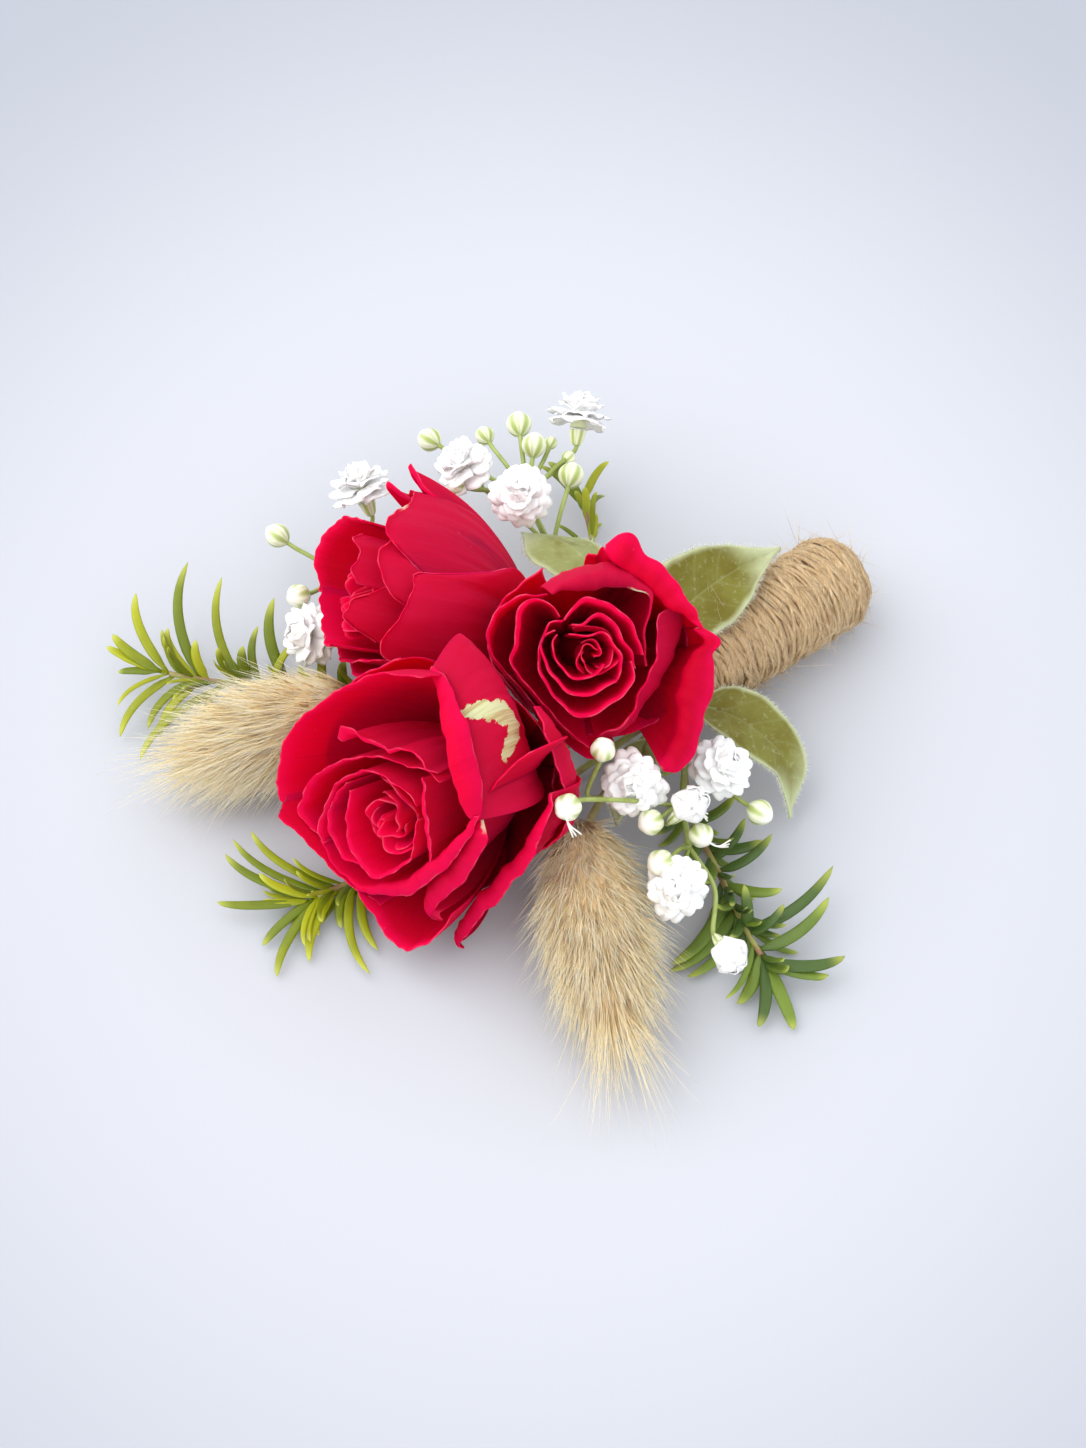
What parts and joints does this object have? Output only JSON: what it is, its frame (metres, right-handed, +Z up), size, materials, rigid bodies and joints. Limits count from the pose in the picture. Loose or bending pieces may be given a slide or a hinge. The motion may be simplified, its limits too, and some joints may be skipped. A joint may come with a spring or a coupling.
{
  "type": "boutonniere",
  "caption": "Boutonniere of red roses with bunny-tail grass, rosemary, baby's breath and downy leaves, its stems bound into a short handle of jute twine.",
  "frame": {"origin": "middle of the bounding box at the height of the table that the bunch lies on", "axes": "+Z up from the table, +X along the wrapped handle to its end, blooms towards -X"},
  "size_m": [0.1132, 0.1198, 0.0447],
  "materials": {
    "rose_petal": "matte crimson, deeper in the folds",
    "rose_green": "matte green stem, hip and sepals",
    "tail_down": "soft cream down with long awns",
    "straw": "dry straw stem",
    "rosemary": "satin yellow-green needles on a brown twig",
    "breath_green": "smooth pale green twigs and buds",
    "breath_white": "matte white petals",
    "downy_leaf": "velvety grey-green with a pale margin",
    "jute": "coarse tan twine with loose fibres"
  },
  "bodies": {
    "root": {"twine_wrap": "jute", "rose_front_petals": "rose_petal", "rose_front_stem": "rose_green", "rose_back_petals": "rose_petal", "rose_back_stem": "rose_green", "rose_upper_petals": "rose_petal", "rose_upper_stem": "rose_green", "bunny_tail_left_head": "tail_down", "bunny_tail_left_stem": "straw", "bunny_tail_front_head": "tail_down", "bunny_tail_front_stem": "straw", "rosemary_left": "rosemary", "rosemary_low": "rosemary", "rosemary_right": "rosemary", "rosemary_top": "rosemary", "breath_top_stem": "breath_green", "breath_floret_top_2": "breath_white", "breath_floret_top_3": "breath_white", "breath_floret_top_4": "breath_white", "breath_left_stem": "breath_green", "breath_floret_left_1": "breath_white", "breath_floret_left_2": "breath_white", "breath_right_stem": "breath_green", "breath_floret_right_1": "breath_white", "breath_floret_right_2": "breath_white", "breath_floret_right_3": "breath_white", "breath_floret_right_4": "breath_white", "breath_floret_right_5": "breath_white", "leaf_over_handle": "downy_leaf", "leaf_beside_handle": "downy_leaf", "leaf_behind": "downy_leaf", "leaf_under_floret": "downy_leaf"}
  },
  "joints": []
}
